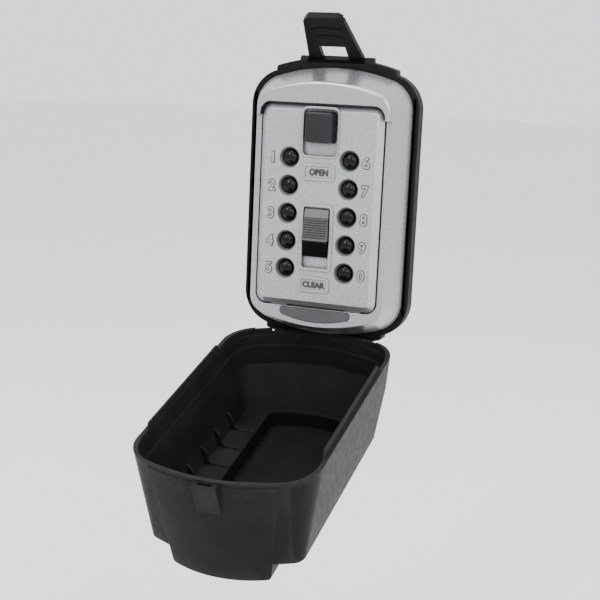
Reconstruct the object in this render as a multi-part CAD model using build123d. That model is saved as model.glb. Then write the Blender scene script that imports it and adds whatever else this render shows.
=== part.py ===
from build123d import *
import os
from math import sqrt

# A push-button key safe inside a plastic weather cover, standing open.
# Millimetres. +X is to the right of someone facing the safe, +Y points into the wall and
# +Z is up. The origin is the middle of the back face, on the wall.

os.makedirs("parts", exist_ok=True)

# Levels along Y, from the wall to the front
LIP_Y = -7.5
FLANGE_Y = -6.4
PLATE_Y = -2.0
LEDGE_Y = -20.5
FACE_Y = -23.5

# Back frame outline: half width, half height, radius of the arched ends, corner radius
FRAME_A, FRAME_B, FRAME_R, FRAME_C = 40.5, 64.5, 90.0, 16.4
BOSS_HALF_WIDTH = 28.5
BOSS_PROUD = 2.0
FRAME_ROUND = 0.8
SCREW_X, SCREW_Z, SCREW_HOLE_R = 20.0, 34.0, 2.6

# Safe body outline at the lip, and how fast its sides lean in towards the front
BODY_A, BODY_B, BODY_R, BODY_C = 37.6, 61.8, 88.0, 13.9
BODY_LEAN = 0.404
CAVITY_FRONT_Y, CAVITY_BACK_Y = -15.8, -4.6
HOOD_LOW_Z = 39.6
HOOD_ROUND = 1.8

# Lid
LID_A, LID_LOW_Z, LID_TOP_Z, LID_C = 29.0, -47.0, 45.2, 4.6
LID_BACK_Y = -17.6
LID_BEVEL = 2.7
LID_GAP = 0.7
SKIRT_A, SKIRT_LOW_Z, SKIRT_TOP_Z, SKIRT_BACK_Y = 27.2, -43.3, 41.6, -12.5
SKIRT_WALL = 1.8
INSIDE_Y = -20.9
TILT_Y, TILT_Z = -18.7, -47.9
NOSE_X, NOSE_LENGTH, NOSE_R = 18.0, 8.0, 0.95

# Push buttons: two columns of five
COLUMN_X, MIDDLE_ROW_Z, PITCH = 14.3, -4.3, 12.7
BUTTON_R, BUTTON_HOLE_R, STEM_R = 3.75, 3.95, 1.5
SINK_R, SINK_DEPTH = 4.7, 1.3
BUTTON_TRAVEL = 1.8
LEFT_DIGITS, RIGHT_DIGITS = "12345", "67890"

# Open lever and clear slider
LEVER_TOP_Z, LEVER_LOW_Z, LEVER_HALF, LEVER_TRAVEL = 42.4, 28.1, 7.0, 5.5
SLIDER_TOP_Z, SLIDER_LOW_Z, SLIDER_HALF, SLIDER_TRAVEL = -1.6, -23.4, 5.75, 4.8
LEVER_STEM_LOW_Z, LEVER_STEM_TOP_Z = 35.4, 39.0
SLIDER_STEM_LOW_Z, SLIDER_STEM_TOP_Z = -13.0, -7.0
PLATE_HALF_WIDTH = 19.7

# Weather cover, drawn shut over the safe and then swung open about its hinge
HINGE_Y, HINGE_Z, COVER_OPEN = -12.0, -63.3, 107.0
PIN_R, KNUCKLE_R = 1.0, 2.4
KNUCKLE_INNER, EAR_INNER, EAR_OUTER, PIN_BLIND = 9.6, 17.3, 22.0, 21.2
RIM_Y = -7.6
COVER_A, COVER_B, COVER_R, COVER_C = 40.5, 64.5, 75.0, 16.0
LEDGE_DEPTH, LEDGE_STEP = 8.0, 0.8
KNEE_DEPTH, KNEE_LOW = 17.0, 62.0
SHOULDER_DEPTH, SHOULDER_A, SHOULDER_TOP, SHOULDER_LOW, SHOULDER_C = 39.0, 33.6, 62.6, 49.6, 5.5
WELL_DEPTH, WELL_A, WELL_TOP, WELL_LOW, WELL_R = 46.6, 21.4, 64.2, 49.6, 52.0
COVER_WALL = 2.0
GUSSETS, GUSSET_PITCH, GUSSET_FIRST_Z = 4, 14.6, -25.4
TONGUE_LOW_Z, TONGUE_TOP_Z, TONGUE_RISE = -34.0, 38.0, 3.1

# Latch tab, drawn pointing straight forward and then raised
LATCH_Y, LATCH_Z, LATCH_RAISED = -4.4, 65.1, 38.4
LATCH_LENGTH, LATCH_ROOT, LATCH_TIP = 30.0, 13.4, 9.2
LATCH_THICK, LATCH_PIN_R, LATCH_KNUCKLE_R = 2.4, 0.75, 1.8


def at_y(y):
    """Work plane facing the viewer, at depth y: its own axes are X and Z."""
    return Plane.XZ.offset(-y)


def slab(sketch, back, front):
    """A flat piece with the sketch's outline between two depths."""
    return extrude(at_y(back) * sketch, amount=back - front, dir=(0, -1, 0))


def across(profile, x0, x1):
    """A profile drawn in Y and Z, stretched from one x to another."""
    return extrude(Plane.YZ.offset(x0) * profile, amount=x1 - x0, dir=(1, 0, 0))


def upward(outline, z0, z1):
    """An outline drawn in X and Y, stretched from one z to another."""
    return extrude(Plane.XY.offset(z0) * outline, amount=z1 - z0, dir=(0, 0, 1))


def block(x0, x1, back, front, z0, z1):
    """A plain rectangular block between given limits."""
    size = Box(x1 - x0, back - front, z1 - z0)
    return Pos((x0 + x1) / 2, (back + front) / 2, (z0 + z1) / 2) * size


def rod_x(radius, x0, x1, y, z):
    """A round bar lying along X."""
    bar = Rot(0, 90, 0) * Cylinder(radius, x1 - x0)
    return Pos((x0 + x1) / 2, y, z) * bar


def rod_y(radius, x, z, back, front):
    """A round bar lying along Y."""
    bar = Rot(90, 0, 0) * Cylinder(radius, back - front)
    return Pos(x, (back + front) / 2, z) * bar


def rounded(half_x, z0, z1, radius, x=0.0):
    """A rectangle with round corners, centred across the safe."""
    return Pos(x, (z0 + z1) / 2) * RectangleRounded(2 * half_x, z1 - z0, radius)


def arched(a, b, end_r, corner_r):
    """Straight sides and arched ends, joined by round corners."""
    corner_x = a - corner_r
    corner_z = b - end_r + sqrt((end_r - corner_r) ** 2 - corner_x**2)
    reach = corner_x / (end_r - corner_r)
    join_x = reach * end_r
    join_z = b - end_r + sqrt(end_r**2 - join_x**2)
    lean = sqrt((1 + reach) / 2)
    rise = sqrt((1 - reach) / 2)
    bend_x = corner_x + corner_r * lean
    bend_z = corner_z + corner_r * rise
    edges = []
    for side in (1, -1):
        edges.append(ThreePointArc((-join_x, side * join_z), (0, side * b), (join_x, side * join_z)))
        edges.append(Line((side * a, corner_z), (side * a, -corner_z)))
        for end in (1, -1):
            start = (side * join_x, end * join_z)
            middle = (side * bend_x, end * bend_z)
            edges.append(ThreePointArc(start, middle, (side * a, end * corner_z)))
    return make_face(edges)


def arched_band(half_x, top, low, end_r):
    """An upright band across the middle whose two ends are arched."""
    drop = end_r - sqrt(end_r**2 - half_x**2)
    left_top, right_top = (-half_x, top - drop), (half_x, top - drop)
    left_low, right_low = (-half_x, drop - low), (half_x, drop - low)
    edges = [
        ThreePointArc(left_top, (0, top), right_top),
        Line(right_top, right_low),
        ThreePointArc(right_low, (0, -low), left_low),
        Line(left_low, left_top),
    ]
    return make_face(edges)


def between(first, y0, second, y1):
    """A tapering solid from one outline to another."""
    return loft([at_y(y0) * first, at_y(y1) * second], ruled=True)


def coil(radius, wire_r, start, height, turns, direction):
    """A round-wire spring."""
    path = Pos(*start) * Helix(height / turns, height, radius, direction=direction)
    section = Plane(origin=path @ 0, z_dir=path % 0) * Circle(wire_r)
    return sweep(section, path=path)


def button_places():
    """Digit, x and z of each button, left column first."""
    places = []
    for x, digits in ((-COLUMN_X, LEFT_DIGITS), (COLUMN_X, RIGHT_DIGITS)):
        for row, digit in enumerate(digits):
            places.append((digit, x, MIDDLE_ROW_Z + (2 - row) * PITCH))
    return places


def stem_slots(travel, y0, y1):
    """Slots that let a plate slide down past the button stems."""
    slots = []
    for _, x, z in button_places():
        outline = Pos(x, z + travel / 2) * SlotOverall(travel + 3.6, 3.6, rotation=90)
        slots.append(slab(outline, y0, y1))
    return slots


def screw_holes(back, front):
    """Four wall-screw holes."""
    places = [(x, z) for x in (-SCREW_X, SCREW_X) for z in (-SCREW_Z, SCREW_Z)]
    return [rod_y(SCREW_HOLE_R, x, z, back, front) for x, z in places]


def back_frame():
    """Shallow tray on the wall, with a raised boss for the latch and one for the hinge."""
    tray = slab(arched(FRAME_A, FRAME_B, FRAME_R, FRAME_C), 0, LIP_Y)
    proud = [size + BOSS_PROUD for size in (FRAME_A, FRAME_B, FRAME_R, FRAME_C)]
    boss = arched(*proud)
    shoulders = Polygon(
        (-BOSS_HALF_WIDTH - 2.5, 0), (-BOSS_HALF_WIDTH, 68), (BOSS_HALF_WIDTH, 68),
        (BOSS_HALF_WIDTH + 2.5, 0), (BOSS_HALF_WIDTH, -68), (-BOSS_HALF_WIDTH, -68), align=None,
    )
    boss = slab(boss & shoulders, 0, LIP_Y)
    corners = boss.edges().filter_by(Axis.Y)
    tray += fillet(corners.sort_by(Axis.Z)[:2] + corners.sort_by(Axis.Z)[-2:], 1.2)
    tray = fillet(tray.faces().sort_by(Axis.Y)[0].edges(), FRAME_ROUND)
    tray -= slab(arched(BODY_A + 0.15, BODY_B + 0.15, BODY_R, BODY_C), FLANGE_Y + 0.1, LIP_Y - 1)
    tray -= slab(arched(BODY_A - 2.4, BODY_B - 2.6, BODY_R - 2.6, BODY_C - 2.4), PLATE_Y, LIP_Y)
    for side in (1, -1):
        inner, outer = sorted((side * (BODY_A + 0.1), side * (FRAME_A - 1.45)))
        tray -= block(inner, outer, LIP_Y + 3.9, LIP_Y - 1, -49.6, 49.6)
    tray -= block(-13.7, 13.7, -2.2, LIP_Y - 1, 64.0, 70)
    tray -= rod_x(LATCH_KNUCKLE_R + 0.3, -13.7, 13.7, LATCH_Y, LATCH_Z)
    for side in (1, -1):
        x0, x1 = sorted((side * 13.7, side * 17.6))
        tray += rod_x(1.9, x0, x1, LATCH_Y, LATCH_Z)
        x0, x1 = sorted((side * EAR_INNER, side * EAR_OUTER))
        ear = rod_x(KNUCKLE_R, x0, x1, HINGE_Y, HINGE_Z)
        ear += block(x0, x1, LIP_Y + 1, HINGE_Y, HINGE_Z - KNUCKLE_R, HINGE_Z + 1.0)
        tray += ear
    tray -= rod_x(LATCH_PIN_R, -16.8, 16.8, LATCH_Y, LATCH_Z)
    tray -= rod_x(PIN_R, -PIN_BLIND, EAR_OUTER + 1, HINGE_Y, HINGE_Z)
    for hole in screw_holes(1, PLATE_Y - 1):
        tray -= hole
    return tray


def body_shell():
    """Die-cast box with leaning sides, an arched hood over the lid and a key space inside."""
    depth = LIP_Y - FACE_Y
    shrink = depth * BODY_LEAN
    base = arched(BODY_A, BODY_B, BODY_R, BODY_C)
    front = arched(BODY_A - shrink, BODY_B - shrink, BODY_R - shrink, BODY_C - shrink)
    shell = between(base, LIP_Y, front, FACE_Y)
    shell = fillet(shell.faces().sort_by(Axis.Y)[0].edges(), HOOD_ROUND)
    shell += slab(base, FLANGE_Y, LIP_Y)
    shell += slab(arched(BODY_A - 2.6, BODY_B - 2.8, BODY_R - 2.8, BODY_C - 2.6), PLATE_Y - 0.1, FLANGE_Y)
    shell -= block(-50, 50, LEDGE_Y, FACE_Y - 1, -70, HOOD_LOW_Z)
    recess = rounded(LID_A + LID_GAP, TILT_Z, LID_TOP_Z + LID_GAP, LID_C + LID_GAP)
    shell -= slab(recess, LID_BACK_Y + 0.2, FACE_Y - 1)
    opening = rounded(SKIRT_A + 0.6, SKIRT_LOW_Z - 0.6, SKIRT_TOP_Z + 0.6, 3.5)
    shell -= slab(opening, CAVITY_FRONT_Y, LIP_Y - 12)
    shell -= slab(arched(30.8, 54.5, 80, 8), CAVITY_BACK_Y, CAVITY_FRONT_Y)
    for side in (1, -1):
        x = side * NOSE_X
        shell -= rod_x(NOSE_R + 0.1, x - NOSE_LENGTH / 2 - 0.3, x + NOSE_LENGTH / 2 + 0.3, TILT_Y, TILT_Z)
    shell -= slab(plate_outline(0.0), LEDGE_Y + 0.3, LEDGE_Y - 1)
    for hole in screw_holes(0, CAVITY_BACK_Y - 1):
        shell -= hole
    return shell


def plate_outline(inset):
    """Long lens with a straight top, round ends and an arched bottom."""
    top, end_x, knee_x = -48.2 - inset, 17.2 - inset, 14.8 - inset
    knee_z, low = -52.3 + inset, -54.5 + inset
    edges = [
        Line((-end_x + 1, top), (end_x - 1, top)),
        ThreePointArc((end_x - 1, top), (end_x, -50.2), (knee_x, knee_z)),
        ThreePointArc((knee_x, knee_z), (0, low), (-knee_x, knee_z)),
        ThreePointArc((-knee_x, knee_z), (-end_x, -50.2), (1 - end_x, top)),
    ]
    return make_face(edges)


def name_plate():
    """Blank dark plate under the lid."""
    return slab(plate_outline(0.15), LEDGE_Y + 0.3, LEDGE_Y - 0.4)


def label_ring(z, half_height, width, border=1.2):
    """Raised rectangular border around a label."""
    ring = rounded(width, z - half_height, z + half_height, 1.6)
    ring -= rounded(width - border, z - half_height + border, z + half_height - border, 0.7)
    return slab(ring, FACE_Y, FACE_Y - 0.35)


def lid():
    """Removable door: bevelled plate with a skirt behind it that houses the lock works."""
    door = slab(rounded(LID_A, LID_LOW_Z, LID_TOP_Z, LID_C), LID_BACK_Y, FACE_Y)
    front_edges = door.faces().sort_by(Axis.Y)[0].edges()
    door = chamfer(front_edges, LID_BEVEL)
    door += slab(rounded(SKIRT_A, SKIRT_LOW_Z, SKIRT_TOP_Z, 3.0), SKIRT_BACK_Y, LID_BACK_Y)
    inner = rounded(SKIRT_A - SKIRT_WALL, SKIRT_LOW_Z + SKIRT_WALL, SKIRT_TOP_Z - SKIRT_WALL, 1.4)
    door -= slab(inner, SKIRT_BACK_Y + 1, INSIDE_Y)
    lever_low, slider_low = LEVER_LOW_Z - LEVER_TRAVEL - 0.2, SLIDER_LOW_Z - SLIDER_TRAVEL - 0.4
    door += slab(rounded(8.9, lever_low - 0.8, LEVER_TOP_Z + 2.0, 2.8), INSIDE_Y, FACE_Y - 0.3)
    door += slab(rounded(7.9, slider_low - 1.3, SLIDER_TOP_Z + 2.1, 2.0), INSIDE_Y, FACE_Y - 0.3)
    door -= slab(rounded(8.2, lever_low, LEVER_TOP_Z + 1.0, 2.2), FACE_Y + 1.9, FACE_Y - 1)
    door -= slab(rounded(6.4, slider_low, SLIDER_TOP_Z + 1.0, 1.0), FACE_Y + 1.7, FACE_Y - 1)
    for slot in works_slots(INSIDE_Y + 1, FACE_Y):
        door -= slot
    for _, x, z in button_places():
        door -= rod_y(BUTTON_HOLE_R, x, z, INSIDE_Y + 1, FACE_Y - 1)
        sink = Cone(BUTTON_HOLE_R, SINK_R, SINK_DEPTH)
        door -= Pos(x, FACE_Y + SINK_DEPTH / 2, z) * (Rot(90, 0, 0) * sink)
    door += label_ring(15.1, 3.8, 7.7)
    door += label_ring(-36.3, 3.6, 7.4)
    for x, z in post_places():
        door += rod_y(2.3, x, z, SKIRT_BACK_Y - 1.45, INSIDE_Y)
        door -= rod_y(1.25, x, z, SKIRT_BACK_Y, INSIDE_Y + 0.6)
    for x in (-8, 8):
        for z in (-34.5, 31.0):
            door += rod_y(1.5, x, z, INSIDE_Y + 3.45, INSIDE_Y)
    door += block(-1.8, 1.8, INSIDE_Y + 3.4, INSIDE_Y, 17.4, 19.0)
    door += block(-1.8, 1.8, INSIDE_Y + 3.4, INSIDE_Y, -26.8, -25.2)
    door -= block(-7.3, 7.3, SKIRT_BACK_Y + 1, -15.7, SKIRT_TOP_Z - SKIRT_WALL - 1, SKIRT_TOP_Z + 1)
    for side in (1, -1):
        x = side * NOSE_X
        x0, x1 = x - NOSE_LENGTH / 2, x + NOSE_LENGTH / 2
        door += rod_x(NOSE_R, x0, x1, TILT_Y, TILT_Z)
        door += block(x0, x1, TILT_Y + NOSE_R, TILT_Y - NOSE_R, TILT_Z, LID_LOW_Z + 0.5)
    return door


def works_slots(back, front):
    """Slots that the stems of the lever and the slider run in."""
    slots = []
    for half, low, top, travel in (
        (2.8, LEVER_STEM_LOW_Z, LEVER_STEM_TOP_Z, LEVER_TRAVEL),
        (2.3, SLIDER_STEM_LOW_Z, SLIDER_STEM_TOP_Z, SLIDER_TRAVEL),
    ):
        slots.append(block(-half, half, back, front, low - travel - 0.3, top + 0.3))
    return slots


def post_places():
    """The four corner posts of the lid."""
    return [(x, z) for x in (-22.7, 22.7) for z in (-38.9, 37.1)]


def mechanism_plate():
    """Plate that closes the back of the lid, with a hole for each code screw."""
    outline = rounded(SKIRT_A - SKIRT_WALL - 0.2, SKIRT_LOW_Z + 2.0, SKIRT_TOP_Z - 2.0, 1.2)
    plate = slab(outline, SKIRT_BACK_Y, SKIRT_BACK_Y - 1.4)
    for _, x, z in button_places():
        plate -= rod_y(2.0, x, z, SKIRT_BACK_Y + 1, SKIRT_BACK_Y - 3)
    for x, z in post_places():
        plate -= rod_y(1.35, x, z, SKIRT_BACK_Y + 1, SKIRT_BACK_Y - 3)
    return plate


def plate_screws():
    """Four pan-head screws that hold the plate to the lid's corner posts."""
    screws = []
    for x, z in post_places():
        screw = rod_y(2.1, x, z, SKIRT_BACK_Y + 1.1, SKIRT_BACK_Y)
        screw += rod_y(1.2, x, z, SKIRT_BACK_Y, SKIRT_BACK_Y - 6.5)
        screw -= block(x - 1.3, x + 1.3, SKIRT_BACK_Y + 2, SKIRT_BACK_Y + 0.6, z - 0.25, z + 0.25)
        screw -= block(x - 0.25, x + 0.25, SKIRT_BACK_Y + 2, SKIRT_BACK_Y + 0.6, z - 1.3, z + 1.3)
        screws.append(screw)
    return Compound(children=screws)


def guide_plate():
    """Fixed plate inside the lid that keeps the button stems straight."""
    plate = slab(rounded(PLATE_HALF_WIDTH, -37.0, 39.7, 1.0), -16.6, -17.4)
    for _, x, z in button_places():
        plate -= rod_y(STEM_R + 0.1, x, z, -16, -18)
    for slot in works_slots(-16, -18):
        plate -= slot
    return plate


def latch_plate():
    """Sliding plate that the open lever pulls down past the button stems."""
    plate = slab(rounded(PLATE_HALF_WIDTH, -35.0, 38.6, 1.0), -15.5, -16.3)
    for slot in stem_slots(LEVER_TRAVEL, -15, -17):
        plate -= slot
    low, top = SLIDER_STEM_LOW_Z - SLIDER_TRAVEL - 0.4, SLIDER_STEM_TOP_Z + LEVER_TRAVEL + 0.4
    plate -= block(-2.4, 2.4, -15, -17, low, top)
    return plate


def latch_bolt():
    """Bolt on the latch plate that holds the top of the lid."""
    bolt = block(-7.0, 7.0, -14.2, -15.5, 35.6, 41.9)
    tip = bolt.edges().filter_by(Axis.X).sort_by(Axis.Z)[-2:]
    return chamfer(tip, 0.5)


def release_plate():
    """Sliding plate that the clear slider pulls down to free the pressed buttons."""
    plate = slab(rounded(PLATE_HALF_WIDTH, -36.0, 29.6, 1.0), -14.4, -15.2)
    for slot in stem_slots(SLIDER_TRAVEL, -14, -16):
        plate -= slot
    return plate


def open_lever():
    """Finger block that slides down in its recess, with its stem."""
    foot = rounded(LEVER_HALF, LEVER_LOW_Z, LEVER_TOP_Z, 1.6)
    face = rounded(LEVER_HALF - 1.0, LEVER_LOW_Z + 0.6, LEVER_TOP_Z - 0.6, 1.2)
    cap = between(foot, FACE_Y + 1.8, face, FACE_Y - 4.0)
    cap = fillet(cap.faces().sort_by(Axis.Y)[0].edges(), 0.6)
    return cap + block(-2.5, 2.5, -16.3, FACE_Y + 1.8, LEVER_STEM_LOW_Z, LEVER_STEM_TOP_Z)


def clear_slider():
    """Ribbed thumb slider, with its stem."""
    back = FACE_Y + 1.6
    ribs = 9
    first_z, first_y, crest_z, crest_y = -5.4, -24.3, -15.2, -26.4
    step = (first_z - crest_z) / ribs
    rise = (crest_y - first_y) / ribs
    profile = [(back, SLIDER_TOP_Z), (-23.6, SLIDER_TOP_Z), (first_y, first_z)]
    for rib in range(ribs):
        z = first_z - rib * step
        y = first_y + rib * rise
        profile.append((y + 0.1, z - 0.3 * step))
        profile.append((y + rise - 0.3, z - 0.45 * step))
        profile.append((y + rise, z - step))
    profile.append((crest_y, crest_z - 0.9))
    profile.append((crest_y + 0.4, crest_z - 1.3))
    profile.append((-23.7, SLIDER_LOW_Z + 0.5))
    profile.append((-23.3, SLIDER_LOW_Z))
    profile.append((back, SLIDER_LOW_Z))
    grip = across(make_face(Polyline(*profile, close=True)), -SLIDER_HALF, SLIDER_HALF)
    return grip + block(-2.0, 2.0, -15.2, back, SLIDER_STEM_LOW_Z, SLIDER_STEM_TOP_Z)


def button(x, z):
    """Domed push button with a retaining flange and a stem."""
    dome_height = 2.6
    dome_r = (BUTTON_R**2 + dome_height**2) / (2 * dome_height)
    shoulder_y, tip_y = -21.9, -24.5
    dome = Pos(x, tip_y + dome_r, z) * Sphere(dome_r)
    dome &= rod_y(BUTTON_R, x, z, shoulder_y, tip_y - 1)
    piece = dome + rod_y(BUTTON_R, x, z, -20.8, shoulder_y)
    piece += rod_y(4.6, x, z, -19.9, -20.8)
    return piece + rod_y(STEM_R, x, z, -16.5, -19.9)


def button_spring(x, z):
    """Return spring around a button stem."""
    return coil(2.2, 0.25, (x, -17.7, z), 1.8, 2.5, (0, -1, 0))


def code_screw(x, z):
    """Slotted code screw in the back of the lid, with an arrow cut across its head."""
    screw = rod_y(1.9, x, z, SKIRT_BACK_Y - 0.1, -14.3)
    screw += rod_y(2.4, x, z, -13.95, -14.3)
    screw -= block(x - 0.3, x + 0.3, SKIRT_BACK_Y + 1, SKIRT_BACK_Y - 0.7, z - 1.4, z + 1.4)
    arrow = Pos(x, z + 0.9) * Triangle(a=1.6, b=1.6, c=1.6)
    return screw - slab(arrow, SKIRT_BACK_Y + 1, SKIRT_BACK_Y - 0.7)


def arched_between(half_x, top, low, end_r, corner_r):
    """An arched outline given by its own top and low ends."""
    return Pos(0, (top - low) / 2) * arched(half_x, (top + low) / 2, end_r, corner_r)


def cover_outline(depth, inset=0.0):
    """Outline of the cover's outer wall at a depth behind the rim, or of a line inset from it."""
    share = depth / SHOULDER_DEPTH
    half_x = COVER_A + share * (SHOULDER_A - COVER_A) - inset
    top = COVER_B + share * (SHOULDER_TOP - COVER_B) - inset
    if depth < KNEE_DEPTH:
        low = COVER_B + depth / KNEE_DEPTH * (KNEE_LOW - COVER_B)
    else:
        low = KNEE_LOW + (depth - KNEE_DEPTH) / (SHOULDER_DEPTH - KNEE_DEPTH) * (SHOULDER_LOW - KNEE_LOW)
    low -= 1.1 * inset
    corner = COVER_C + share * (SHOULDER_C - COVER_C) - 0.8 * inset
    return arched_between(half_x, top, low, COVER_R - inset, corner)


def shut_cover():
    """Deep plastic cover drawn shut: shell, well, ribs, tongues, catch and hinge knuckles."""
    shoulder_y = RIM_Y - SHOULDER_DEPTH
    well_y = RIM_Y - WELL_DEPTH
    knee_y = RIM_Y - KNEE_DEPTH
    cover = between(cover_outline(0), RIM_Y, cover_outline(KNEE_DEPTH), knee_y)
    cover += between(cover_outline(KNEE_DEPTH), knee_y, cover_outline(SHOULDER_DEPTH), shoulder_y)
    band = arched_band(28.3, COVER_B + 0.2, COVER_B - 2.0, COVER_R)
    bottom = arched_band(WELL_A, WELL_TOP, WELL_LOW, WELL_R)
    band = between(band, RIM_Y - 1.5, bottom, well_y)
    cover += fillet(band.faces().sort_by(Axis.Y)[0].edges().filter_by(Axis.Z), 1.6)
    shelf_depth = SHOULDER_DEPTH - COVER_WALL
    ledge_y = RIM_Y - LEDGE_DEPTH
    mouth_low = cover_outline(LEDGE_DEPTH, COVER_WALL)
    throat = cover_outline(LEDGE_DEPTH, COVER_WALL + LEDGE_STEP)
    waist = cover_outline(KNEE_DEPTH, COVER_WALL + 0.5 * LEDGE_STEP)
    cover -= between(cover_outline(0, COVER_WALL), RIM_Y, mouth_low, ledge_y)
    cover -= between(throat, ledge_y, waist, knee_y)
    cover -= between(waist, knee_y, cover_outline(shelf_depth, COVER_WALL), RIM_Y - shelf_depth)
    inner_well = arched_band(WELL_A - 1.8, WELL_TOP - 3.2, WELL_LOW - 2.3, WELL_R)
    cover -= slab(inner_well, RIM_Y - shelf_depth + 1, well_y + COVER_WALL)
    for side in (1, -1):
        for row in range(GUSSETS):
            cover += gusset(side, GUSSET_FIRST_Z + row * GUSSET_PITCH, RIM_Y - shelf_depth)
        cover += tongue(side)
        x0, x1 = sorted((side * KNUCKLE_INNER, side * (EAR_INNER - 0.4)))
        cover += rod_x(KNUCKLE_R, x0, x1, HINGE_Y, HINGE_Z)
        x0, x1 = sorted((side * (EAR_INNER - 0.3), side * (EAR_OUTER + 0.4)))
        cover -= rod_x(KNUCKLE_R + 0.3, x0, x1, HINGE_Y, HINGE_Z)
    relief = arched(BODY_A + 0.4, BODY_B + 0.4, BODY_R, BODY_C + 0.4)
    cover -= slab(relief, 0, RIM_Y - 3.0)
    cover -= block(-EAR_OUTER - 0.4, EAR_OUTER + 0.4, 0, RIM_Y - 2.0, -70, -50)
    cover -= block(-30, 30, 0, RIM_Y - 0.5, -70, -56)
    cover -= rod_x(PIN_R + 0.06, -EAR_OUTER, EAR_OUTER, HINGE_Y, HINGE_Z)
    return cover + catch()


def gusset(side, z, shelf_y):
    """Thin rib that sweeps down in an S from the side wall to the edge of the well."""
    top_y, toe_y = shelf_y + 8.6, shelf_y + 0.7
    edges = [
        Line((20.2, shelf_y - 1), (20.2, toe_y)),
        Line((20.2, toe_y), (26.6, toe_y)),
        ThreePointArc((26.6, toe_y), (28.8, shelf_y + 1.5), (29.9, shelf_y + 3.6)),
        ThreePointArc((29.9, shelf_y + 3.6), (30.7, shelf_y + 6.3), (32.4, top_y)),
        Line((32.4, top_y), (34.2, top_y)),
        Line((34.2, top_y), (32.6, shelf_y - 1)),
        Line((32.6, shelf_y - 1), (20.2, shelf_y - 1)),
    ]
    web = upward(make_face(edges), z - 0.6, z + 0.6)
    if side < 0:
        web = mirror(web, about=Plane.YZ)
    return web


def tongue(side):
    """Fin along a straight side of the rim that enters the frame's groove."""
    root, top, ramp = RIM_Y - 1.6, RIM_Y + TONGUE_RISE, 1.8
    profile = Polygon(
        (root, TONGUE_LOW_Z), (RIM_Y, TONGUE_LOW_Z), (top, TONGUE_LOW_Z + ramp),
        (top, TONGUE_TOP_Z - ramp), (RIM_Y, TONGUE_TOP_Z), (root, TONGUE_TOP_Z), align=None,
    )
    x0, x1 = sorted((side * 37.9, side * 38.9))
    return across(profile, x0, x1)


def catch():
    """Wedge on the free end of the cover that the latch window drops over."""
    near, far = RIM_Y - 0.7, RIM_Y - 16.7
    profile = Polygon((near, 63.4), (near, 67.6), (far, 64.1), (far, 62.9), align=None)
    wedge = across(profile, -5.2, 5.2)
    return wedge - block(-2.9, 2.9, 0, RIM_Y - 5, 65.0, 66.4)


def latch_tab():
    """Tapered finger tab with a window, drawn lying flat and pointing forward."""
    tip_y = LATCH_Y - LATCH_LENGTH
    corner = 2.2
    outline = Polygon(
        (-LATCH_ROOT, LATCH_Y), (LATCH_ROOT, LATCH_Y), (LATCH_TIP + 0.3, tip_y + corner),
        (LATCH_TIP - corner, tip_y), (corner - LATCH_TIP, tip_y), (-LATCH_TIP - 0.3, tip_y + corner),
        align=None,
    )
    tab = upward(outline, LATCH_Z - LATCH_THICK / 2, LATCH_Z + LATCH_THICK / 2)
    tab += rod_x(LATCH_KNUCKLE_R, -LATCH_ROOT, LATCH_ROOT, LATCH_Y, LATCH_Z)
    tab -= block(-6.2, 6.2, LATCH_Y - 1.9, LATCH_Y - 11.0, 60, 70)
    for reach in (18.5, 23.5):
        ring = Pos(0, LATCH_Y - reach + 22.0) * (Circle(22.5) - Circle(21.9))
        ridge = upward(ring, LATCH_Z, LATCH_Z + LATCH_THICK / 2 + 0.4)
        tab += ridge & block(-6.5, 6.5, LATCH_Y - 12, tip_y + 1, 60, 70)
        groove = upward(ring, LATCH_Z - LATCH_THICK, LATCH_Z - LATCH_THICK / 2 + 0.4)
        tab -= groove & block(-7.4, 7.4, LATCH_Y - 12, tip_y + 1, 60, 70)
    lip = upward(outline, LATCH_Z, LATCH_Z + LATCH_THICK / 2 + 0.9)
    tab += lip & block(-LATCH_ROOT, LATCH_ROOT, tip_y + 1.6, tip_y - 1, 60, 70)
    return tab - rod_x(LATCH_PIN_R + 0.06, -20, 20, LATCH_Y, LATCH_Z)


def swing(piece, y, z, angle):
    """Turn a piece about a line along X; a positive angle tips its top forward."""
    return piece.rotate(Axis((0, y, z), (1, 0, 0)), angle)


def write(name, piece):
    """Save one sub-part."""
    piece.label = name
    export_step(piece, f"parts/{name}.step")


write("back_frame", back_frame())
write("hinge_pin", rod_x(PIN_R, -PIN_BLIND, EAR_OUTER + 0.4, HINGE_Y, HINGE_Z))
write("latch_pin", rod_x(LATCH_PIN_R, -16.7, 16.7, LATCH_Y, LATCH_Z))
write("body_shell", body_shell())
write("name_plate", name_plate())
write("weather_cover", swing(shut_cover(), HINGE_Y, HINGE_Z, COVER_OPEN))
write("cover_latch", swing(latch_tab(), LATCH_Y, LATCH_Z, -LATCH_RAISED))
write("lid", lid())
write("mechanism_plate", mechanism_plate())
write("plate_screws", plate_screws())
write("guide_plate", guide_plate())
write("latch_plate", latch_plate())
write("latch_bolt", latch_bolt())
write("release_plate", release_plate())
write("open_lever", open_lever())
write("clear_slider", clear_slider())
write("lever_spring", coil(1.15, 0.25, (0, -19.2, 19.3), 13.4, 9, (0, 0, 1)))
write("slider_spring", coil(1.15, 0.25, (0, -19.2, -24.9), 11.6, 8, (0, 0, 1)))
for digit, x, z in button_places():
    write(f"button_{digit}", button(x, z))
    write(f"button_spring_{digit}", button_spring(x, z))
    write(f"code_screw_{digit}", code_screw(x, z))
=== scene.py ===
"""A push-button key safe with its weather cover hanging open, seen from the front right."""

import math

import bmesh
import bpy
from mathutils import Matrix, Vector


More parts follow.
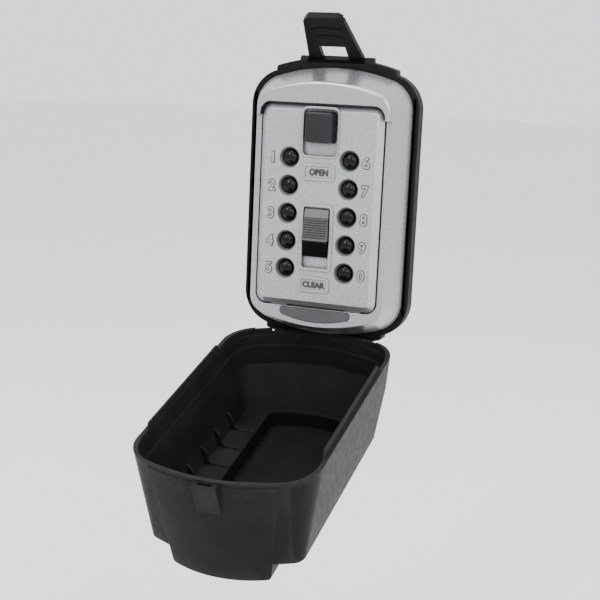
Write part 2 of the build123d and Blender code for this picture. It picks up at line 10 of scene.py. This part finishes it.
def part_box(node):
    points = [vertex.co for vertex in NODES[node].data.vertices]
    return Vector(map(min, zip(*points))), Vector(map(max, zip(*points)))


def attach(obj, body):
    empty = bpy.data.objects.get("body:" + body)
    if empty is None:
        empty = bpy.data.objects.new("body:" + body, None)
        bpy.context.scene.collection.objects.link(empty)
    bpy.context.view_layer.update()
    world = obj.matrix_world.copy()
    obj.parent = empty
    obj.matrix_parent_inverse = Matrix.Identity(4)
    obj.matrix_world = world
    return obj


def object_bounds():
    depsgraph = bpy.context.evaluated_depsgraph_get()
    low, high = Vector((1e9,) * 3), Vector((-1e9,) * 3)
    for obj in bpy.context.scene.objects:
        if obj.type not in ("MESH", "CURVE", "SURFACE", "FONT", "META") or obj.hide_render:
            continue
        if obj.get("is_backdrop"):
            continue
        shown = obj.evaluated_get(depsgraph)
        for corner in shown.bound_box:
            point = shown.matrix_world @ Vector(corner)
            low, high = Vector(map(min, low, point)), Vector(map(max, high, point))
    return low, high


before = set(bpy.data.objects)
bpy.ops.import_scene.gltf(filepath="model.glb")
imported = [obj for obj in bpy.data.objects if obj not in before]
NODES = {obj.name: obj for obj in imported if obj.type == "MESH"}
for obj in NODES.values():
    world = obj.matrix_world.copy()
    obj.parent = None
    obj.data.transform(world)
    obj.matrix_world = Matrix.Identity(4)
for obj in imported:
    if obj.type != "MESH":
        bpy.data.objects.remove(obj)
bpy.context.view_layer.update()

MM = 0.001
DIGITS = "1234567890"
RIGHT_COLUMN = "67890"

# Raised characters on the lid. A digit's middle is OUT further from the lid's middle than its button's, and
# DROP lower. It is a thin core on a wide contour of half its height.
CAPITAL = 0.70                                  # height of a capital in the built-in font, at size 1
DIGIT_HEIGHT, DIGIT_OUT, DIGIT_DROP = 4.8 * MM, 8.0 * MM, 0.4 * MM
DIGIT_CORE, DIGIT_CONTOUR, WORD_SWELL = 0.08 * MM, 0.38 * MM, 0.10 * MM
RAISED = 0.3 * MM
BORDER_RISE = 0.35 * MM                         # how far the lid's raised borders stand out from its face
WORDS = {                                       # width, letter height and place up the lid
    "OPEN": (8.9 * MM, 2.7 * MM, 15.1 * MM),
    "CLEAR": (10.6 * MM, 2.5 * MM, -36.3 * MM),
}

# Surfaces that change along a part
RING_R, RING_SOFT = 4.8 * MM, 0.15 * MM         # dark ring around a button, and its soft edge
SLIDER_CREST, CREST_SOFT = 7.6 * MM, 0.3 * MM   # the slider's sharp crest above its lower end
SILVER_TINT = (0.975, 1.0, 1.005)

# Floor, lamps and sky
FLOOR_DROP, FLOOR_R = 0.09, 9
LAMP_TARGET = (0, -0.03, 0.04)
LAMPS = {                                       # place, width, height and power in watts
    "key": ((-0.22, -0.52, 0.50), 0.22, 0.22, 2.6),
    "second": ((0.42, -0.55, 0.42), 0.16, 0.22, 1.6),
    "side": ((1.1, -0.35, 0.5), 0.5, 0.9, 7),
    "top": ((0.0, -0.2, 1.2), 0.9, 0.9, 8),
}
SKY_STRENGTH = 1.5

# Camera: its place, the degrees that it is turned, tipped down and rolled, and its lens in millimetres
CAMERA_PLACE = Vector((0.1866, -0.5477, 0.0588))
CAMERA_AZIMUTH, CAMERA_DROP, CAMERA_ROLL = 20.19, 10.43, 2.61
CAMERA_LENS, CAMERA_SENSOR = 73.94, 36.0


# ---------------------------------------------------------------- materials

class Look:
    """A node material built around a Principled shader, new or carried on from a finished one."""

    # A Mix node's sockets for its first value, second value and result, by the kind of value
    MIX_SOCKETS = {"RGBA": (6, 7, 2), "FLOAT": (2, 3, 0)}

    def __init__(self, name=None, material=None):
        self.material = material or bpy.data.materials.new(name)
        self.material.use_nodes = True
        self.tree = self.material.node_tree
        self.shader = self.tree.nodes["Principled BSDF"]
        self.place = self.add("ShaderNodeTexCoord").outputs["Object"]

    def add(self, kind, inputs=None, **settings):
        node = self.tree.nodes.new(kind)
        for key, value in settings.items():
            setattr(node, key, value)
        for key, value in (inputs or {}).items():
            self.set(node, key, value)
        return node

    def set(self, node, key, value):
        """Link a socket to an input, or set the input to a plain value."""
        if isinstance(value, bpy.types.NodeSocket):
            self.tree.links.new(value, node.inputs[key])
        else:
            node.inputs[key].default_value = value

    def principled(self, **inputs):
        for key, value in inputs.items():
            self.set(self.shader, key.replace("_", " "), value)

    def feed(self, key):
        """The socket that feeds one of the shader's inputs so far."""
        return self.shader.inputs[key].links[0].from_socket

    def calculate(self, operation, *values):
        node = self.add("ShaderNodeMath", dict(enumerate(values)), operation=operation)
        return node.outputs["Value"]

    def coordinate(self, axis):
        return self.add("ShaderNodeSeparateXYZ", {"Vector": self.place}).outputs[axis]

    def noise(self, size, detail=2.0, roughness=0.5, stretch=(1, 1, 1)):
        """Soft noise whose blobs are about size metres across."""
        where = self.place
        if stretch != (1, 1, 1):
            mapping = self.add("ShaderNodeMapping", {"Vector": self.place, "Scale": stretch})
            where = mapping.outputs["Vector"]
        node = self.add("ShaderNodeTexNoise", {
            "Vector": where, "Scale": 1 / size, "Detail": detail, "Roughness": roughness,
        })
        return node.outputs["Fac"]

    def cells(self, size):
        """Small cells about size metres across, each with its own three random values."""
        voronoi = self.add("ShaderNodeTexVoronoi", {"Vector": self.place, "Scale": 1 / size})
        parts = self.add("ShaderNodeSeparateColor", {"Color": voronoi.outputs["Color"]})
        return [parts.outputs[key] for key in ("Red", "Green", "Blue")]

    def remap(self, value, low, high, out_low, out_high):
        node = self.add("ShaderNodeMapRange", {
            "Value": value, "From Min": low, "From Max": high, "To Min": out_low, "To Max": out_high,
        })
        return node.outputs["Result"]

    def mix(self, factor, first, second, kind="RGBA"):
        node = self.add("ShaderNodeMix", {"Factor": factor}, data_type=kind)
        first_socket, second_socket, result = self.MIX_SOCKETS[kind]
        self.set(node, first_socket, first)
        self.set(node, second_socket, second)
        return node.outputs[result]

    def bump(self, height, depth, strength, under):
        """A normal with bumps of the given depth, laid over another normal."""
        inputs = {"Height": height, "Distance": depth, "Strength": strength, "Normal": under}
        return self.add("ShaderNodeBump", inputs).outputs["Normal"]

    def soft_edges(self, radius):
        """A normal that rounds sharp edges over the given radius."""
        return self.add("ShaderNodeBevel", {"Radius": radius}, samples=6).outputs["Normal"]

    def crevices(self, reach):
        """A mask that is 1 in the open and falls to 0 deep in corners and gaps."""
        return self.add("ShaderNodeAmbientOcclusion", {"Distance": reach}, samples=6).outputs["AO"]

    def worn_edges(self):
        """A mask that is 1 along convex edges."""
        pointiness = self.add("ShaderNodeNewGeometry").outputs["Pointiness"]
        return self.remap(pointiness, 0.51, 0.56, 0, 1)


def grey(value, tint=(1, 1, 1)):
    return (value * tint[0], value * tint[1], value * tint[2], 1)


def silver_paint(name, shade, roughness, flake):
    """Metallic silver paint: fine flakes under a thin clear coat, uneven, with painted shade darkening its
    corners and gaps.
    """
    look = Look(name)

    def silver(brightness):
        return grey(shade * brightness, SILVER_TINT)

    sparkle, dullness, tilt = look.cells(0.16 * MM)
    mottle = look.noise(0.55 * MM, 3, 0.75)
    cloud = look.noise(9 * MM, 3)
    base = look.mix(look.remap(sparkle, 0.05, 0.95, 0, flake), silver(0.84), silver(1.14))
    base = look.mix(look.remap(mottle, 0.36, 0.56, 0.75 * flake, 0), base, silver(0.58))
    base = look.mix(look.remap(mottle, 0.58, 0.70, 0, 0.6 * flake), base, silver(1.45))
    base = look.mix(look.remap(cloud, 0.35, 0.7, 0, 0.35), base, silver(0.94))

    # Shade in corners and gaps: the mask's reach and range, then the shade's strength and brightness
    for reach, low, high, strength, brightness in (
        (2.6 * MM, 0.20, 0.80, 0.80, 0.12),
        (7.0 * MM, 0.35, 0.85, 0.45, 0.25),
        (0.6 * MM, 0.55, 0.90, 0.85, 0.16),
    ):
        base = look.mix(look.remap(look.crevices(reach), low, high, strength, 0), base, silver(brightness))

    rough = look.remap(dullness, 0, 1, roughness - 0.08, roughness + 0.12)
    normal = look.bump(tilt, 0.012 * MM, 0.55, look.soft_edges(0.35 * MM))
    normal = look.bump(look.noise(1.1 * MM, 2), 0.03 * MM, 0.25, normal)
    look.principled(Base_Color=base, Metallic=0.72, Roughness=rough, Normal=normal,
                    Coat_Weight=0.25, Coat_Roughness=0.16)
    return look.material


def darken_button_rings(material):
    """Colour the conical ring around every button dark grey.

    The two columns of buttons mirror each other, so distances are taken to the right one only.
    """
    look = Look(material=material)
    out = look.calculate("ABSOLUTE", look.coordinate("X"))
    flat = look.add("ShaderNodeCombineXYZ", {"X": out, "Z": look.coordinate("Z")}).outputs["Vector"]
    nearest = 1.0
    for digit in RIGHT_COLUMN:
        low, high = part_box(f"button_{digit}")
        centre = (low + high) / 2
        away = look.add("ShaderNodeVectorMath", {0: flat, 1: (centre.x, 0, centre.z)}, operation="DISTANCE")
        nearest = look.calculate("MINIMUM", away.outputs["Value"], nearest)
    ring = look.remap(nearest, RING_R, RING_R + RING_SOFT, 1, 0)
    metal = look.remap(ring, 0, 1, look.shader.inputs["Metallic"].default_value, 0)
    look.principled(Base_Color=look.mix(ring, look.feed("Base Color"), grey(0.10)), Metallic=metal)


def black_plastic(name, shade, roughness, grain=0.20 * MM, edge=0.5, coat=0.0, specular=0.2,
                  tint=(1.0, 0.98, 1.02), soft=0.4 * MM):
    """Moulded black plastic: fine spark-eroded grain, faint flow clouds and paler rubbed edges.

    grain is the grain's size, edge how much the rubbed edges show, and soft the radius of the edges.
    """
    look = Look(name)
    cloud = look.noise(14 * MM, 3)
    base = look.mix(look.remap(cloud, 0.3, 0.75, 0, 1), grey(shade * 0.85, tint), grey(shade * 1.25, tint))
    rubbed = look.calculate("MULTIPLY", look.worn_edges(), look.noise(2 * MM, 4))
    base = look.mix(look.remap(rubbed, 0, 0.8, 0, edge), base, grey(shade * 3.2, tint))
    rough = look.remap(look.noise(3 * MM, 4), 0.3, 0.7, roughness - 0.05, roughness + 0.06)
    normal = look.bump(look.noise(grain, 1), 0.02 * MM, 0.35, look.soft_edges(soft))
    normal = look.bump(look.noise(6 * MM, 1), 0.08 * MM, 0.04, normal)
    look.principled(Base_Color=base, Roughness=rough, Normal=normal, Specular_IOR_Level=specular,
                    Coat_Weight=coat, Coat_Roughness=0.12)
    return look.material


def paint_light_on_slider_ribs(material):
    """Paint light on the ribbed slope of the slider, pale on the rib tops with painted shade in the grooves,
    and make its lower face polished.
    """
    look = Look(material=material)
    low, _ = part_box("clear_slider")
    crest = low.z + SLIDER_CREST
    # Above the crest the colour is painted light: pale grey on the open rib tops, with painted shade in the
    # grooves between them.
    ribs = look.remap(look.coordinate("Z"), crest, crest + CREST_SOFT, 0, 1)
    lit_rib_tops = look.remap(look.crevices(0.9 * MM), 0.45, 0.95, 0, 1)
    lit_slope = look.mix(lit_rib_tops, grey(0.006), grey(0.12))
    look.principled(Base_Color=look.mix(ribs, look.feed("Base Color"), lit_slope),
                    Roughness=look.mix(ribs, 0.14, look.feed("Roughness"), "FLOAT"))


def glossy_black(name):
    """Polished black moulding with faint handling marks."""
    look = Look(name)
    marks = look.noise(0.9 * MM, 5, 0.6)
    base = look.mix(look.remap(look.noise(5 * MM, 2), 0.3, 0.7, 0, 1), grey(0.003), grey(0.0048))
    rough = look.remap(marks, 0.35, 0.75, 0.12, 0.22)
    normal = look.bump(marks, 0.01 * MM, 0.12, look.soft_edges(0.25 * MM))
    look.principled(Base_Color=base, Roughness=rough, Normal=normal, Specular_IOR_Level=0.16)
    return look.material


def worked_metal(name, colour, roughness, along=(1, 1, 1)):
    """Plain metal with fine marks, drawn out along one direction, and a little tarnish."""
    look = Look(name)
    marks = look.noise(0.25 * MM, 3, 0.6, along)
    tarnish = look.remap(look.noise(4 * MM, 4, 0.6), 0.35, 0.75, 0, 0.7)
    darker = tuple(part * 0.72 for part in colour)
    base = look.mix(tarnish, (*colour, 1), (*darker, 1))
    rough = look.remap(marks, 0.25, 0.75, roughness - 0.08, roughness + 0.14)
    normal = look.bump(marks, 0.01 * MM, 0.4, look.soft_edges(0.15 * MM))
    look.principled(Base_Color=base, Metallic=1.0, Roughness=rough, Normal=normal)
    return look.material


def dress(names, material):
    for name in names:
        mesh = NODES[name].data
        mesh.materials.clear()
        mesh.materials.append(material)


def dress_shell():
    """The frame, cover, latch and safe body, and the blank name plate."""
    dress(["back_frame"], black_plastic("frame_black", 0.006, 0.50, specular=0.06))
    dress(["weather_cover"], black_plastic("cover_black", 0.009, 0.46, specular=0.06))
    dress(["cover_latch"], black_plastic("latch_black", 0.003, 0.36, specular=0.10))
    dress(["body_shell"], silver_paint("body_silver", 0.41, 0.26, 0.6))
    lid_paint = silver_paint("lid_silver", 0.41, 0.40, 1.0)
    darken_button_rings(lid_paint)
    dress(["lid"], lid_paint)
    dress(["name_plate"], black_plastic("name_grey", 0.055, 0.34, edge=0.1, coat=0.3))


def dress_controls():
    """The buttons, the lever and the slider on the lid."""
    dress([f"button_{digit}" for digit in DIGITS], glossy_black("button_black"))
    violet = (0.97, 0.94, 1.14)
    dress(["open_lever"], black_plastic("lever_black", 0.013, 0.30, edge=0.3, coat=0.15, tint=violet))
    slider_black = black_plastic("slider_black", 0.003, 0.30, grain=0.1 * MM, edge=0.3, specular=0.22,
                                 soft=0.06 * MM)
    paint_light_on_slider_ribs(slider_black)
    dress(["clear_slider"], slider_black)


def dress_works():
    """The metal parts: sheets and bolt, pins, springs and screws."""
    sheet = worked_metal("sheet_steel", (0.56, 0.57, 0.58), 0.34, (1, 1, 14))
    dress(["mechanism_plate", "guide_plate", "latch_plate", "release_plate", "latch_bolt"], sheet)
    dress(["hinge_pin", "latch_pin"], worked_metal("pin_steel", (0.50, 0.50, 0.51), 0.26, (1, 12, 12)))
    springs = ["lever_spring", "slider_spring"] + [f"button_spring_{digit}" for digit in DIGITS]
    dress(springs, worked_metal("spring_steel", (0.42, 0.42, 0.44), 0.28))
    dress(["plate_screws"], worked_metal("screw_steel", (0.60, 0.60, 0.58), 0.30))
    brass = worked_metal("screw_brass", (0.72, 0.53, 0.24), 0.28, (1, 8, 1))
    dress([f"code_screw_{digit}" for digit in DIGITS], brass)


# ---------------------------------------------------------------- raised characters

def lettering(name, text, height, depth, swell, width=None):
    """A mesh of one character or word, depth thick and swollen by swell, centred and facing the front."""
    curve = bpy.data.curves.new(name + "_outline", "FONT")
    curve.body = text
    curve.size = height / CAPITAL
    curve.extrude = depth / 2
    curve.offset = swell
    curve.fill_mode = "BOTH"
    curve.resolution_u = 6
    holder = bpy.data.objects.new(name + "_outline", curve)
    bpy.context.scene.collection.objects.link(holder)
    bpy.context.view_layer.update()
    mesh = bpy.data.meshes.new_from_object(holder.evaluated_get(bpy.context.evaluated_depsgraph_get()))
    bpy.data.objects.remove(holder)

    low = [min(vertex.co[axis] for vertex in mesh.vertices) for axis in range(2)]
    high = [max(vertex.co[axis] for vertex in mesh.vertices) for axis in range(2)]
    centre = Vector(((low[0] + high[0]) / 2, (low[1] + high[1]) / 2, 0))
    mesh.transform(Matrix.Translation(-centre))
    if width:
        mesh.transform(Matrix.Scale(width / (high[0] - low[0]), 4, (1, 0, 0)))
    mesh.transform(Matrix.Rotation(math.radians(90), 4, "X"))
    return mesh


def raise_on_lid(name, mesh, place, depth, material):
    """Stand a lettering mesh on the lid's face at a point, and let it move with the lid."""
    mesh.transform(Matrix.Translation(Vector(place) - Vector((0, depth / 2, 0))))
    mesh.materials.clear()
    mesh.materials.append(material)
    piece = bpy.data.objects.new(name, mesh)
    bpy.context.scene.collection.objects.link(piece)
    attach(piece, "door")


def lid_characters():
    light = silver_paint("raised_silver", 0.43, 0.38, 0.8)
    dark = silver_paint("contour_grey", 0.07, 0.5, 0.5)
    low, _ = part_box("lid")
    face_y = low.y + BORDER_RISE
    for digit in DIGITS:
        low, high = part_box(f"button_{digit}")
        centre = (low + high) / 2
        place = (centre.x + math.copysign(DIGIT_OUT, centre.x), face_y, centre.z - DIGIT_DROP)
        for name, depth, swell, paint in (
            (f"digit_{digit}", RAISED, DIGIT_CORE, light),
            (f"digit_{digit}_contour", RAISED / 2, DIGIT_CONTOUR, dark),
        ):
            raise_on_lid(name, lettering(name, digit, DIGIT_HEIGHT, depth, swell), place, depth, paint)
    for word, (width, height, z) in WORDS.items():
        name = f"word_{word.lower()}"
        mesh = lettering(name, word, height, RAISED, WORD_SWELL, width)
        raise_on_lid(name, mesh, (0, face_y, z), RAISED, dark)


# ---------------------------------------------------------------- stage, light and camera

def stage():
    low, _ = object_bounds()
    mesh = bpy.data.meshes.new("floor")
    disc = bmesh.new()
    bmesh.ops.create_circle(disc, cap_ends=True, segments=96, radius=FLOOR_R)
    disc.to_mesh(mesh)
    disc.free()
    floor = bpy.data.objects.new("floor", mesh)
    floor.location = (0, 0, low.z - FLOOR_DROP)
    bpy.context.scene.collection.objects.link(floor)
    look = Look("pale_floor")
    look.principled(Base_Color=look.mix(look.noise(0.4, 3), grey(0.90), grey(0.94)), Roughness=0.8)
    mesh.materials.append(look.material)
    floor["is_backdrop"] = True


def lamps():
    """White area lamps, all turned towards the safe."""
    for name, (place, width, height, power) in LAMPS.items():
        data = bpy.data.lights.new(name, "AREA")
        data.shape = "RECTANGLE"
        data.size, data.size_y = width, height
        data.energy = power
        light = bpy.data.objects.new(name, data)
        light.location = place
        light.rotation_euler = (Vector(LAMP_TARGET) - Vector(place)).to_track_quat("-Z", "Y").to_euler()
        bpy.context.scene.collection.objects.link(light)


def sky():
    world = bpy.data.worlds.new("studio")
    world.use_nodes = True
    background = world.node_tree.nodes["Background"]
    background.inputs["Color"].default_value = (1, 1, 1, 1)
    background.inputs["Strength"].default_value = SKY_STRENGTH
    bpy.context.scene.world = world


def camera():
    data = bpy.data.cameras.new("camera")
    data.lens = CAMERA_LENS
    data.sensor_width = CAMERA_SENSOR
    azimuth, drop, roll = (math.radians(angle) for angle in (CAMERA_AZIMUTH, CAMERA_DROP, CAMERA_ROLL))
    level = Vector((-math.sin(azimuth), math.cos(azimuth), 0))
    forward = level * math.cos(drop) - Vector((0, 0, math.sin(drop)))
    right = forward.cross(Vector((0, 0, 1))).normalized()
    up = right.cross(forward)
    tilted_right = right * math.cos(roll) + up * math.sin(roll)
    tilted_up = up * math.cos(roll) - right * math.sin(roll)
    turn = Matrix((tilted_right, tilted_up, -forward)).transposed()
    view = bpy.data.objects.new("camera", data)
    view.matrix_world = Matrix.Translation(CAMERA_PLACE) @ turn.to_4x4()
    bpy.context.scene.collection.objects.link(view)
    bpy.context.scene.camera = view


dress_shell()
dress_controls()
dress_works()
lid_characters()
stage()
lamps()
sky()
camera()
